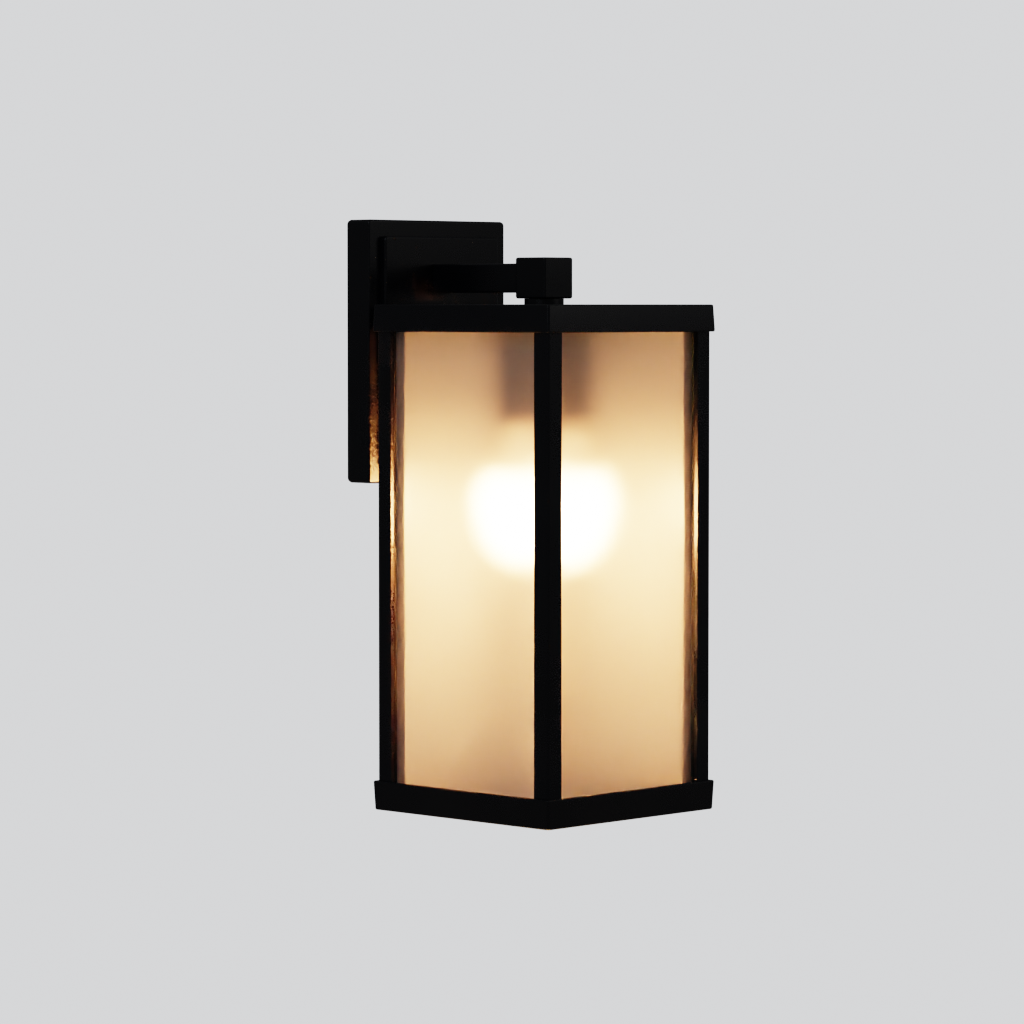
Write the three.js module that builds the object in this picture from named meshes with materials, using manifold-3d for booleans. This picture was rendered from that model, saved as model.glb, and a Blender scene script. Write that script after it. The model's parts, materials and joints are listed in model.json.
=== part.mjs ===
// Outdoor wall lantern: a square glazed lantern hanging from a short arm on a raised wall plate.
// Millimetres. X runs along the wall, +Y points into the wall and +Z is up, so the lantern's front faces -Y.
// The origin is the middle of the mounting bracket's back face, where it lies on the wall.

import * as THREE from "three";
import { mergeVertices } from "three/addons/utils/BufferGeometryUtils.js";
import Module from "manifold-3d";

const wasm = await Module();
wasm.setup();

// ---------------------------------------------------------------- driving dimensions

// Fits
const GAP = 0.3; // between two faces that touch
const FINE_GAP = 0.15; // between a small screw's shank and its hole

// Lantern body
const BODY_SIDE = 166.5; // cap and rim where they are widest
const BODY_STANDOFF = 14.5; // wall plate's raised panel to the cap's rear face
const EDGE_DRAFT = 0.9; // how much the cap and the rim narrow on each side
const CAP_HEIGHT = 18.5;
const CAP_ROOF = 2.5;
const WINDOW_HEIGHT = 308; // cap's lower edge to rim's upper edge
const RIM_HEIGHT = 20;
const CORNER_RADIUS = 2; // upright corners of the cap, the rim and the posts
const EDGE_ROUND = 1; // along the long edges of the cap and the rim
const POST_REVEAL = 2.65; // how far the posts stand inside the cap's and the rim's faces
const TOP_PLATE_THICKNESS = 2.5;
const LEDGE_DROP = 9; // rim's upper edge to the ledge that the glass stands on
const LEDGE_THICKNESS = 2.5;
const LEDGE_MARGIN = 1.5; // ledge beyond the retainers that stand on it

// Corner posts
const POST_FLANGE = 13;
const POST_THICKNESS = 3;
const PORT_RADIUS = 3.2; // the screw port along the inside of each post's corner
const PORT_SINK = 0.4; // how deep the port runs into the flanges

// Glazing
const GLASS_THICKNESS = 3;
const GLASS_TUCK = 8; // how far the glass reaches up behind the cap
const GLASS_EDGE_MARGIN = 0.6; // screw port to the glass's edge
const SEAL_THICKNESS = 2.5;
const RETAINER_LEG = 8;
const RETAINER_THICKNESS = 1.2;

// Wall plate and bracket
const PLATE_WIDTH = 134;
const PLATE_HEIGHT = 182;
const PLATE_DEPTH = 22; // wall to the plate's border
const PLATE_WALL = 2.5;
const PLATE_CORNER_RADIUS = 3;
const PLATE_EDGE_ROUND = 1.6;
const PANEL_MARGIN = 11.2; // border around the raised panel
const PANEL_RAISE = 5;
const GASKET_THICKNESS = 1.5;
const GASKET_SETBACK = 0.5; // gasket inside the plate's outline
const BRACKET_WIDTH = 30;
const BRACKET_THICKNESS = 2;
const BRACKET_EAR = 14; // how far the bracket's ears stand off the wall
const EAR_SCREW_DEPTH = 8; // wall to the axis of the screws through the ears
const BOX_SLOT_OFFSET = 42; // bracket's middle to the middle of each slot
const BOX_SLOT_WIDTH = 5;
const BOX_SLOT_LENGTH = 12;
const GROUND_SCREW_DROP = 20; // below the bracket's middle
const GROUND_BOSS_DROP = 52;
const GROUND_BOSS_RADIUS = 4.5;
const GROUND_BOSS_HEIGHT = 8;

// Arm, hub and threaded pipes
const ARM_HEIGHT = 50.5; // arm's axis above the bracket's middle
const ARM_SIDE = 20;
const ARM_WALL = 2;
const ARM_CORNER_RADIUS = 1.5;
const HUB_SIDE = 28.2;
const HUB_HEIGHT = 28;
const HUB_WALL = 4.5;
const HUB_CORNER_RADIUS = 1.75;
const HUB_EDGE_ROUND = 1.3;
const COLLAR_RADIUS = 13.5;
const COLLAR_ROOM = 4; // hub to cap, with the collar between them
const PIPE_RADIUS = 4.75;
const PIPE_BORE_RADIUS = 3.25;
const PIPE_TAIL = 2.5; // pipe past its nut
const NUT_RADIUS = 8; // to the nut's corners
const NUT_HEIGHT = 5;
const WASHER_RADIUS = 9;
const WASHER_THICKNESS = 1.2;

// Lamp socket
const CUP_RADIUS = 23;
const CUP_HEIGHT = 79;
const CUP_WALL = 1.2;
const CUP_ROOF = 2;
const SOCKET_RECESS = 1.5; // insulator up inside the cup's mouth
const SOCKET_HEIGHT = 46;
const SHOULDER_ROOM = 0.5; // socket's insulator to the shoulder of the lamp's glass
const SHELL_HEIGHT = 28;
const SHELL_WALL = 0.5;
const SHELL_INSET = 2; // shell's lower edge above the insulator's mouth
const SHELL_FIT = 0.3; // lamp base to shell, all round
const CONTACT_LENGTH = 14;
const CONTACT_WIDTH = 8;
const CONTACT_THICKNESS = 0.8;
const CONTACT_STAND = 2; // contact's rivet below the bore's end
const TERMINAL_OFFSET = 13; // socket's axis to each terminal screw
const TERMINAL_LIFT = 2.6; // insulator's top to the terminal screw's head

// Lamp
const LAMP_BASE_RADIUS = 13.1;
const LAMP_BASE_HEIGHT = 24;
const LAMP_BASE_WALL = 0.7;
const LAMP_TIP_RADIUS = 4.6;
const LAMP_TIP_HEIGHT = 1.6;
const LAMP_INSULATOR_HEIGHT = 4.6;
const LAMP_LENGTH = 110;
const LAMP_GLOBE_RADIUS = 30;
const LAMP_SHOULDER = 1.1; // how far the glass stands out past the base where it leaves it
const LAMP_GLASS = 1;

// Wires
const WIRE_RADIUS = 1;
const WIRE_SPREAD = 1.3; // half the distance between the two leads inside the pipes
const CONNECTOR_RADIUS = 6.5;
const CONNECTOR_LENGTH = 24;
const CONNECTOR_WALL = 1.2;
const CONNECTOR_OFFSET = 32; // plate's middle to each connector's axis
const CONNECTOR_TOP = -8; // height of the connectors' mouths

// Screws: head radius, head height, shank radius and overall length
const FRAME_SCREW = { head: 2.7, headHeight: 1.5, shank: 1.5, length: 14 };
const PLATE_SCREW = { head: 3.6, headHeight: 1.9, shank: 2, length: 10 };
const GROUND_SCREW = { head: 4, headHeight: 2.2, shank: 2, length: 9 };
const TERMINAL_SCREW = { head: 3.4, headHeight: 2.2, shank: 1.7, length: 11 };
const PORT_BORE_RADIUS = FRAME_SCREW.shank + FINE_GAP;

// ---------------------------------------------------------------- sizes that follow

const postHalf = BODY_SIDE / 2 - POST_REVEAL; // lantern's axis to the posts' faces
const trayHalf = postHalf + GAP; // inside of the cap's and the rim's walls
const portDepth = POST_THICKNESS + PORT_RADIUS - PORT_SINK; // post's face to its screw port's axis
const glassDepth = POST_THICKNESS + SEAL_THICKNESS + 2 * GAP; // post's face to the glass
const glassEdge = portDepth + PORT_RADIUS + GLASS_EDGE_MARGIN; // post's face to the next glass's edge
const retainerDepth = glassDepth + GLASS_THICKNESS + GAP;
const ledgeHalf = postHalf - retainerDepth - RETAINER_LEG - LEDGE_MARGIN; // half the opening below

const hubBottom = ARM_HEIGHT - HUB_HEIGHT / 2;
const capTop = hubBottom - COLLAR_ROOM;
const capBottom = capTop - CAP_HEIGHT;
const rimTop = capBottom - WINDOW_HEIGHT;
const rimBottom = rimTop - RIM_HEIGHT;
const ledgeTop = rimTop - LEDGE_DROP;
const topPlateTop = capTop - CAP_ROOF - GAP;
const topPlateBottom = topPlateTop - TOP_PLATE_THICKNESS;
const postTop = topPlateBottom - GAP;
const postBottom = ledgeTop + GAP;
const glassTop = capBottom + GLASS_TUCK;

const plateBack = GASKET_THICKNESS + GAP; // wall to the plate's back edge
const panelFront = PLATE_DEPTH + PANEL_RAISE;
const panelInside = panelFront - PLATE_WALL; // wall to the hollow's end behind the raised panel
const cavityHalfWidth = PLATE_WIDTH / 2 - PLATE_WALL;
const cavityHalfHeight = PLATE_HEIGHT / 2 - PLATE_WALL;
const bracketHalfHeight = cavityHalfHeight - GAP;

const bodyReach = panelFront + BODY_STANDOFF + BODY_SIDE / 2; // wall to the lantern's upright axis
const hubRear = bodyReach - HUB_SIDE / 2; // wall to the hub's rear face
const pipeHoleRadius = PIPE_RADIUS + GAP;
const pipeRear = panelInside - 2 * GAP - WASHER_THICKNESS - NUT_HEIGHT - PIPE_TAIL;

const cupTop = topPlateBottom - GAP;
const cupBottom = cupTop - CUP_HEIGHT;
const socketBottom = cupBottom + SOCKET_RECESS;
const socketTop = socketBottom + SOCKET_HEIGHT;
// How far the shoulder of the lamp's glass is below its tip.
const lampShoulder = LAMP_TIP_HEIGHT + LAMP_INSULATOR_HEIGHT + LAMP_BASE_HEIGHT + 3 * GAP;
const tipRoom = CONTACT_STAND + CONTACT_THICKNESS + 2 * GAP; // bore's end to the lamp's tip
const boreTop = socketBottom + tipRoom + lampShoulder - SHOULDER_ROOM;
const shellInnerRadius = LAMP_BASE_RADIUS + SHELL_FIT;
const shellOuterRadius = shellInnerRadius + SHELL_WALL;
const lampTop = boreTop - tipRoom;
const lampNeckRadius = LAMP_BASE_RADIUS + LAMP_SHOULDER;
const lampStemRadius = LAMP_BASE_RADIUS - LAMP_BASE_WALL - GAP; // the glass inside the base
const nippleWasherTop = cupTop - CUP_ROOF - GAP;
const nippleNutTop = nippleWasherTop - WASHER_THICKNESS - GAP;
const nippleBottom = nippleNutTop - NUT_HEIGHT - PIPE_TAIL;

// ---------------------------------------------------------------- finishes

const BLACK_PAINT = { color: 0x0c0d11, roughness: 0.42, metalness: 0.1 };
const FROSTED_GLASS = { color: 0xf2e4d0, roughness: 0.6, metalness: 0, transparent: true, opacity: 0.5 };
const LAMP_GLASS_LOOK = { color: 0xfff4e0, roughness: 0.5, metalness: 0, emissive: 0xffd9a0 };
const BLACK_RUBBER = { color: 0x101010, roughness: 0.9, metalness: 0 };
const ZINC_STEEL = { color: 0xb4b6b8, roughness: 0.4, metalness: 1 };
const BRASS = { color: 0xc8a250, roughness: 0.3, metalness: 1 };
const NICKEL = { color: 0xc9c6bf, roughness: 0.25, metalness: 1 };
const PORCELAIN = { color: 0xf1eee6, roughness: 0.25, metalness: 0 };
const BLACK_VITRITE = { color: 0x18181c, roughness: 0.15, metalness: 0 };
const GREEN_SCREW = { color: 0x2f7a45, roughness: 0.45, metalness: 0.8 };
const GREEN_PVC = { color: 0x2c8a4a, roughness: 0.5, metalness: 0 };
const BLACK_PVC = { color: 0x151515, roughness: 0.5, metalness: 0 };
const WHITE_PVC = { color: 0xe9e7e0, roughness: 0.5, metalness: 0 };
const ORANGE_PLASTIC = { color: 0xd9742a, roughness: 0.5, metalness: 0 };

// ---------------------------------------------------------------- shape helpers

// A closed three.js geometry as a manifold-3d solid.
function solid(geometry) {
  const bare = geometry.index ? geometry.toNonIndexed() : geometry.clone();
  bare.deleteAttribute("normal");
  bare.deleteAttribute("uv");
  const merged = mergeVertices(bare, 1e-4);
  const corners = merged.index.array;
  const triangles = [];
  for (let i = 0; i < corners.length; i += 3) {
    const [a, b, c] = corners.subarray(i, i + 3);
    if (a !== b && b !== c && c !== a) triangles.push(a, b, c);
  }
  return new wasm.Manifold(
    new wasm.Mesh({
      numProp: 3,
      vertProperties: merged.attributes.position.array,
      triVerts: Uint32Array.from(triangles),
    }),
  );
}

// A manifold-3d solid as a three.js geometry with flat faces.
function geometryOf(shape) {
  const mesh = shape.getMesh();
  const geometry = new THREE.BufferGeometry();
  geometry.setAttribute("position", new THREE.BufferAttribute(mesh.vertProperties, 3));
  geometry.setIndex(new THREE.BufferAttribute(mesh.triVerts, 1));
  const flat = geometry.toNonIndexed();
  flat.computeVertexNormals();
  return flat;
}

function addPart(parent, name, shape, finish) {
  const mesh = new THREE.Mesh(geometryOf(shape), new THREE.MeshStandardMaterial(finish));
  mesh.name = name;
  parent.add(mesh);
  return mesh;
}

// A block from its lowest to its highest corner.
function block([x0, y0, z0], [x1, y1, z1]) {
  const geometry = new THREE.BoxGeometry(x1 - x0, y1 - y0, z1 - z0);
  geometry.translate((x0 + x1) / 2, (y0 + y1) / 2, (z0 + z1) / 2);
  return solid(geometry);
}

// A round bar along Z from z = low to z = high.
function bar(radius, low, high, sides = 24) {
  const geometry = new THREE.CylinderGeometry(radius, radius, high - low, sides);
  geometry.rotateX(Math.PI / 2).translate(0, 0, (low + high) / 2);
  return solid(geometry);
}

// A profile of [radius, z] points, from the bottom up the outside, turned about Z.
function turned(profile, sides = 24) {
  const points = profile.map(([radius, z]) => new THREE.Vector2(radius, z));
  return solid(new THREE.LatheGeometry(points, sides).rotateX(Math.PI / 2));
}

function roundedRectangle(width, height, radius) {
  const x = width / 2 - radius;
  const y = height / 2 - radius;
  const shape = new THREE.Shape();
  shape.absarc(x, -y, radius, -Math.PI / 2, 0);
  shape.absarc(x, y, radius, 0, Math.PI / 2);
  shape.absarc(-x, y, radius, Math.PI / 2, Math.PI);
  shape.absarc(-x, -y, radius, Math.PI, 1.5 * Math.PI);
  shape.closePath();
  return shape;
}

// A shape extruded up from z = 0 with its rims rounded: both of them, or the upper one only.
function roundedPrism(shape, height, round, bothRims = false) {
  const below = bothRims ? 0 : 2 * round;
  const geometry = new THREE.ExtrudeGeometry(shape, {
    depth: height + below - 2 * round,
    bevelThickness: round,
    bevelSize: round,
    bevelOffset: -round,
    bevelSegments: 2,
    curveSegments: 4,
  });
  geometry.translate(0, 0, round - below);
  return geometry;
}

function prism(shape, height) {
  return new THREE.ExtrudeGeometry(shape, { depth: height, bevelEnabled: false, curveSegments: 4 });
}

// What is left of a solid above z = 0.
function aboveFloor(shape, reach) {
  return shape.subtract(block([-reach, -reach, -reach], [reach, reach, 0]));
}

// Scales a geometry's outline from one factor at z = 0 to another at z = height.
function taper(geometry, height, lowScale, highScale) {
  const position = geometry.attributes.position;
  for (let i = 0; i < position.count; i++) {
    const share = position.getZ(i) / height;
    const scale = lowScale + (highScale - lowScale) * share;
    position.setXY(i, position.getX(i) * scale, position.getY(i) * scale);
  }
  return geometry;
}

// Turns a shape drawn as (along the wall, up) and extruded along Z so that it grows away from the wall.
function offWall(shape, start) {
  return shape.rotate([90, 0, 0]).translate([0, -start, 0]);
}

// A wire of round section through the given points.
function wire(points, step) {
  const path = new THREE.CatmullRomCurve3(points.map((p) => new THREE.Vector3(...p)));
  const section = new THREE.Shape().absarc(0, 0, WIRE_RADIUS, 0, 2 * Math.PI);
  const steps = Math.ceil(path.getLength() / step);
  return solid(new THREE.ExtrudeGeometry(section, { steps, extrudePath: path, curveSegments: 4 }));
}

// ---------------------------------------------------------------- fasteners

// A flush screw with its flat head at z = 0 and its shank down; clearance grows it all round for its hole.
function flushScrew({ head, headHeight, shank, length }, clearance = 0) {
  return turned(
    [
      [0, -length - clearance],
      [shank + clearance, -length - clearance],
      [shank + clearance, -headHeight],
      [head + clearance, 0],
      [head + clearance, clearance],
      [0, clearance],
    ],
    16,
  );
}

// A pan-head screw with its head standing on z = 0 and its shank down.
function panScrew({ head, headHeight, shank, length }) {
  const crown = 0.6 * head;
  return turned(
    [
      [0, headHeight - length],
      [shank, headHeight - length],
      [shank, 0],
      [head, 0],
      [head, 0.5 * headHeight],
      [crown, headHeight],
      [0, headHeight],
    ],
    16,
  );
}

// The cross recess in a screw head whose top is at z = top.
function crossRecess(head, top) {
  const arm = 0.55 * head;
  const half = 0.13 * head;
  const deep = 0.3 * head;
  const one = block([-arm, -half, top - deep], [arm, half, top + 1]);
  return one.add(block([-half, -arm, top - deep], [half, arm, top + 1]));
}

function flushCrossScrew(screw) {
  return flushScrew(screw).subtract(crossRecess(screw.head, 0));
}

function panCrossScrew(screw) {
  return panScrew(screw).subtract(crossRecess(screw.head, screw.headHeight));
}

function threadedPipe(low, high) {
  return bar(PIPE_RADIUS, low, high).subtract(bar(PIPE_BORE_RADIUS, low - 1, high + 1));
}

function hexNut(low) {
  const top = low + NUT_HEIGHT;
  return bar(NUT_RADIUS, low, top, 6).subtract(bar(pipeHoleRadius, low - 1, top + 1));
}

function washer(low) {
  const top = low + WASHER_THICKNESS;
  return bar(WASHER_RADIUS, low, top).subtract(bar(pipeHoleRadius, low - 1, top + 1));
}

// ---------------------------------------------------------------- wall plate and bracket

// A screw's place in an ear or a plate edge: its head faces up at the given height, or down when turned over.
function edgeScrewPlace(shape, up) {
  const height = up ? PLATE_HEIGHT / 2 : -PLATE_HEIGHT / 2;
  return shape.rotate([up ? 0 : 180, 0, 0]).translate([0, -EAR_SCREW_DEPTH, height]);
}

function mountingBracket() {
  const half = BRACKET_WIDTH / 2;
  const top = bracketHalfHeight;
  let bracket = block([-half, -BRACKET_THICKNESS, -top], [half, 0, top]);
  bracket = bracket.add(block([-half, -BRACKET_EAR, top - BRACKET_THICKNESS], [half, 0, top]));
  bracket = bracket.add(block([-half, -BRACKET_EAR, -top], [half, 0, BRACKET_THICKNESS - top]));
  const slotShape = roundedRectangle(BOX_SLOT_WIDTH, BOX_SLOT_LENGTH, BOX_SLOT_WIDTH / 2 - 0.01);
  const slot = offWall(solid(prism(slotShape, BRACKET_THICKNESS + 2)), -1);
  for (const side of [-1, 1]) {
    bracket = bracket.subtract(slot.translate([0, 0, side * BOX_SLOT_OFFSET]));
    bracket = bracket.subtract(edgeScrewPlace(flushScrew(PLATE_SCREW, FINE_GAP), side > 0));
  }
  const groundHole = bar(GROUND_SCREW.shank + FINE_GAP, -1, BRACKET_THICKNESS + 1, 16);
  return bracket.subtract(offWall(groundHole, 0).translate([0, 0, -GROUND_SCREW_DROP]));
}

// A foam ring between the plate's back edge and the wall.
function wallGasket() {
  const width = PLATE_WIDTH - 2 * GASKET_SETBACK;
  const height = PLATE_HEIGHT - 2 * GASKET_SETBACK;
  const outside = solid(prism(roundedRectangle(width, height, PLATE_CORNER_RADIUS), GASKET_THICKNESS));
  const inside = block(
    [-cavityHalfWidth, -cavityHalfHeight, -1],
    [cavityHalfWidth, cavityHalfHeight, GASKET_THICKNESS + 1],
  );
  return offWall(outside.subtract(inside), 0);
}

// A hollow dish with a raised panel, a hole for the arm's pipe and a boss for the ground screw.
function backPlate() {
  const reach = PLATE_WIDTH + PLATE_HEIGHT;
  const borderHeight = PLATE_DEPTH - plateBack;
  const outline = roundedRectangle(PLATE_WIDTH, PLATE_HEIGHT, PLATE_CORNER_RADIUS);
  const border = aboveFloor(solid(roundedPrism(outline, borderHeight, PLATE_EDGE_ROUND)), reach);
  const panelHalfWidth = PLATE_WIDTH / 2 - PANEL_MARGIN;
  const panelHalfHeight = PLATE_HEIGHT / 2 - PANEL_MARGIN;
  const panelOutline = roundedRectangle(2 * panelHalfWidth, 2 * panelHalfHeight, PLATE_CORNER_RADIUS);
  const panelHeight = PANEL_RAISE + PLATE_EDGE_ROUND;
  const panel = solid(roundedPrism(panelOutline, panelHeight, PLATE_EDGE_ROUND))
    .translate([0, 0, borderHeight - PLATE_EDGE_ROUND]);
  const hollow = block(
    [-cavityHalfWidth, -cavityHalfHeight, -1],
    [cavityHalfWidth, cavityHalfHeight, borderHeight - PLATE_WALL],
  );
  const pocket = block(
    [PLATE_WALL - panelHalfWidth, PLATE_WALL - panelHalfHeight, 0],
    [panelHalfWidth - PLATE_WALL, panelHalfHeight - PLATE_WALL, panelInside - plateBack],
  );
  const pipeHole = bar(pipeHoleRadius, 0, panelFront).translate([0, ARM_HEIGHT, 0]);
  const bossFoot = panelInside - plateBack;
  const bossTop = bossFoot - GROUND_BOSS_HEIGHT;
  const boss = bar(GROUND_BOSS_RADIUS, bossTop, bossFoot + PLATE_WALL / 2).subtract(
    bar(GROUND_SCREW.shank + FINE_GAP, bossTop - 1, bossTop + GROUND_SCREW.length - 1, 16),
  );
  const dish = border.add(panel).subtract(hollow).subtract(pocket).subtract(pipeHole);
  let plate = offWall(dish.add(boss.translate([0, -GROUND_BOSS_DROP, 0])), plateBack);
  for (const up of [true, false]) {
    plate = plate.subtract(edgeScrewPlace(flushScrew(PLATE_SCREW, FINE_GAP), up));
  }
  return plate;
}

function buildWallPlate(root) {
  addPart(root, "mounting_bracket", mountingBracket(), ZINC_STEEL);
  addPart(root, "wall_gasket", wallGasket(), BLACK_RUBBER);
  addPart(root, "back_plate", backPlate(), BLACK_PAINT);
  addPart(root, "plate_screw_upper", edgeScrewPlace(flushCrossScrew(PLATE_SCREW), true), BLACK_PAINT);
  addPart(root, "plate_screw_lower", edgeScrewPlace(flushCrossScrew(PLATE_SCREW), false), BLACK_PAINT);
}

// The two ground screws face each other across the plate's hollow, with a short wire between them.
function buildGround(root) {
  const wireRoom = 2 * WIRE_RADIUS + 2 * GAP; // under each screw's head
  const bracketHead = BRACKET_THICKNESS + wireRoom;
  const bossFace = panelInside - GROUND_BOSS_HEIGHT;
  const plateHead = bossFace - wireRoom;
  const shortScrew = { ...GROUND_SCREW, length: bracketHead + GROUND_SCREW.headHeight };
  const bracketScrew = offWall(panCrossScrew(shortScrew), bracketHead);
  addPart(root, "bracket_ground_screw", bracketScrew, GREEN_SCREW).position.z = -GROUND_SCREW_DROP;
  const plateScrew = offWall(panCrossScrew(GROUND_SCREW).rotate([180, 0, 0]), plateHead);
  addPart(root, "plate_ground_screw", plateScrew, GREEN_SCREW).position.z = -GROUND_BOSS_DROP;
  const beside = GROUND_SCREW.shank + WIRE_RADIUS + GAP;
  const bracketWire = BRACKET_THICKNESS + GAP + WIRE_RADIUS;
  const bossWire = bossFace - GAP - WIRE_RADIUS;
  const middle = (bracketWire + bossWire) / 2;
  const loop = GROUND_SCREW.head + 3 * WIRE_RADIUS;
  const route = [
    [beside, -bracketWire, -GROUND_SCREW_DROP],
    [loop, -bracketWire, -GROUND_SCREW_DROP - loop],
    [loop, -middle, -(GROUND_SCREW_DROP + GROUND_BOSS_DROP) / 2],
    [loop, -bossWire, -GROUND_BOSS_DROP + loop],
    [beside, -bossWire, -GROUND_BOSS_DROP],
  ];
  addPart(root, "ground_wire", wire(route, 2.5), GREEN_PVC);
}

// ---------------------------------------------------------------- arm, hub and pipes

// The square arm is clamped between the plate and the hub by a threaded pipe that runs inside it.
function buildArm(root) {
  const arm = new THREE.Group();
  arm.position.set(0, 0, ARM_HEIGHT);
  root.add(arm);
  const length = hubRear - panelFront - 2 * GAP;
  const outside = solid(prism(roundedRectangle(ARM_SIDE, ARM_SIDE, ARM_CORNER_RADIUS), length));
  const insideHalf = ARM_SIDE / 2 - ARM_WALL;
  const inside = block([-insideHalf, -insideHalf, -1], [insideHalf, insideHalf, length + 1]);
  addPart(arm, "arm_tube", offWall(outside.subtract(inside), panelFront + GAP), BLACK_PAINT);
  addPart(arm, "arm_pipe", offWall(threadedPipe(pipeRear, hubRear + HUB_WALL), 0), ZINC_STEEL);
  const washerRear = panelInside - GAP - WASHER_THICKNESS;
  addPart(arm, "arm_pipe_washer", offWall(washer(washerRear), 0), ZINC_STEEL);
  addPart(arm, "arm_pipe_nut", offWall(hexNut(washerRear - GAP - NUT_HEIGHT), 0), ZINC_STEEL);
}

// A square block with a hollow middle, tapped at the rear for the arm's pipe and below for the nipple.
function hubBlock() {
  const outline = roundedRectangle(HUB_SIDE, HUB_SIDE, HUB_CORNER_RADIUS);
  const outside = solid(roundedPrism(outline, HUB_HEIGHT, HUB_EDGE_ROUND, true));
  const half = HUB_SIDE / 2 - HUB_WALL;
  const hollow = block([-half, -half, HUB_WALL], [half, half, HUB_HEIGHT - HUB_WALL]);
  const lowerBore = bar(pipeHoleRadius, -1, HUB_HEIGHT / 2);
  const rearBore = bar(pipeHoleRadius, -HUB_SIDE, 0).rotate([90, 0, 0]).translate([0, 0, HUB_HEIGHT / 2]);
  return outside.subtract(hollow).subtract(lowerBore).subtract(rearBore);
}

function buildHub(lantern) {
  addPart(lantern, "hub", hubBlock(), BLACK_PAINT).position.z = hubBottom;
  const collar = bar(COLLAR_RADIUS, capTop + GAP, hubBottom - GAP, 36);
  const collarHole = bar(pipeHoleRadius, capTop, hubBottom);
  addPart(lantern, "hub_collar", collar.subtract(collarHole), BLACK_PAINT);
  addPart(lantern, "nipple", threadedPipe(nippleBottom, hubBottom + HUB_WALL), ZINC_STEEL);
  addPart(lantern, "nipple_washer", washer(nippleWasherTop - WASHER_THICKNESS), ZINC_STEEL);
  addPart(lantern, "nipple_nut", hexNut(nippleNutTop - NUT_HEIGHT), ZINC_STEEL);
}

// ---------------------------------------------------------------- lantern frame

// A square prism with rounded corners and rims whose sides lean in by the draft at one end.
function draftedSquare(height, lowDraft, highDraft) {
  const outline = roundedRectangle(BODY_SIDE, BODY_SIDE, CORNER_RADIUS);
  const geometry = roundedPrism(outline, height, EDGE_ROUND, true);
  const half = BODY_SIDE / 2;
  return solid(taper(geometry, height, 1 - lowDraft / half, 1 - highDraft / half));
}

function cap() {
  const inside = block([-trayHalf, -trayHalf, -1], [trayHalf, trayHalf, CAP_HEIGHT - CAP_ROOF]);
  const pipeHole = bar(pipeHoleRadius, 0, CAP_HEIGHT + 1);
  return draftedSquare(CAP_HEIGHT, 0, EDGE_DRAFT).subtract(inside).subtract(pipeHole);
}

// Puts a copy of a shape on the axis of each post's screw port.
function atEachPort(shape, use) {
  const offset = postHalf - portDepth;
  for (const x of [-offset, offset]) {
    for (const y of [-offset, offset]) use(shape.translate([x, y, 0]));
  }
}

// The plate under the cap's roof that the posts are screwed to.
function topPlate() {
  const outline = roundedRectangle(2 * postHalf, 2 * postHalf, CORNER_RADIUS);
  const pipeHole = bar(pipeHoleRadius, -1, TOP_PLATE_THICKNESS + 1);
  let plate = solid(prism(outline, TOP_PLATE_THICKNESS)).subtract(pipeHole);
  const screwHole = flushScrew(FRAME_SCREW, FINE_GAP).translate([0, 0, TOP_PLATE_THICKNESS]);
  atEachPort(screwHole, (hole) => {
    plate = plate.subtract(hole);
  });
  return plate;
}

// An open tray: a square wall with a ledge inside it, which the posts and the glass stand on.
function bottomRim() {
  const wallInside = block([-trayHalf, -trayHalf, -1], [trayHalf, trayHalf, RIM_HEIGHT + 1]);
  const wall = draftedSquare(RIM_HEIGHT, EDGE_DRAFT, 0).subtract(wallInside);
  const top = RIM_HEIGHT - LEDGE_DROP;
  const bottom = top - LEDGE_THICKNESS;
  const reach = trayHalf + (POST_REVEAL - GAP) / 2; // into the middle of the wall
  const opening = block([-ledgeHalf, -ledgeHalf, bottom - 1], [ledgeHalf, ledgeHalf, top + 1]);
  let rim = wall.add(block([-reach, -reach, bottom], [reach, reach, top]).subtract(opening));
  const screwHole = flushScrew(FRAME_SCREW, FINE_GAP).rotate([180, 0, 0]).translate([0, 0, bottom]);
  atEachPort(screwHole, (hole) => {
    rim = rim.subtract(hole);
  });
  return rim;
}

// An angle section with its outer corner rounded and a screw port along the inside of the corner.
function cornerPost() {
  const inner = -POST_THICKNESS;
  const shape = new THREE.Shape();
  shape.moveTo(-POST_FLANGE, inner);
  shape.lineTo(inner, inner);
  shape.lineTo(inner, -POST_FLANGE);
  shape.lineTo(0, -POST_FLANGE);
  shape.absarc(-CORNER_RADIUS, -CORNER_RADIUS, CORNER_RADIUS, 0, Math.PI / 2);
  shape.lineTo(-POST_FLANGE, 0);
  shape.closePath();
  const length = postTop - postBottom;
  const port = bar(PORT_RADIUS, 0, length, 16).translate([-portDepth, -portDepth, 0]);
  const bore = bar(PORT_BORE_RADIUS, -1, length + 1, 16).translate([-portDepth, -portDepth, 0]);
  return solid(prism(shape, length)).add(port).subtract(bore).translate([postHalf, postHalf, 0]);
}

// A thin angle strip that lies against the inner faces of two neighbouring glasses.
function glassRetainer() {
  const corner = postHalf - retainerDepth;
  const end = corner - RETAINER_LEG;
  const inside = corner - RETAINER_THICKNESS;
  const height = postTop - postBottom;
  const outside = block([end, end, 0], [corner, corner, height]);
  return outside.subtract(block([end - 1, end - 1, -1], [inside, inside, height + 1]));
}

const CORNERS = ["rear_right", "rear_left", "front_left", "front_right"];
const SIDES = ["front", "right", "rear", "left"];
const QUARTER_TURN = Math.PI / 2;

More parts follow.
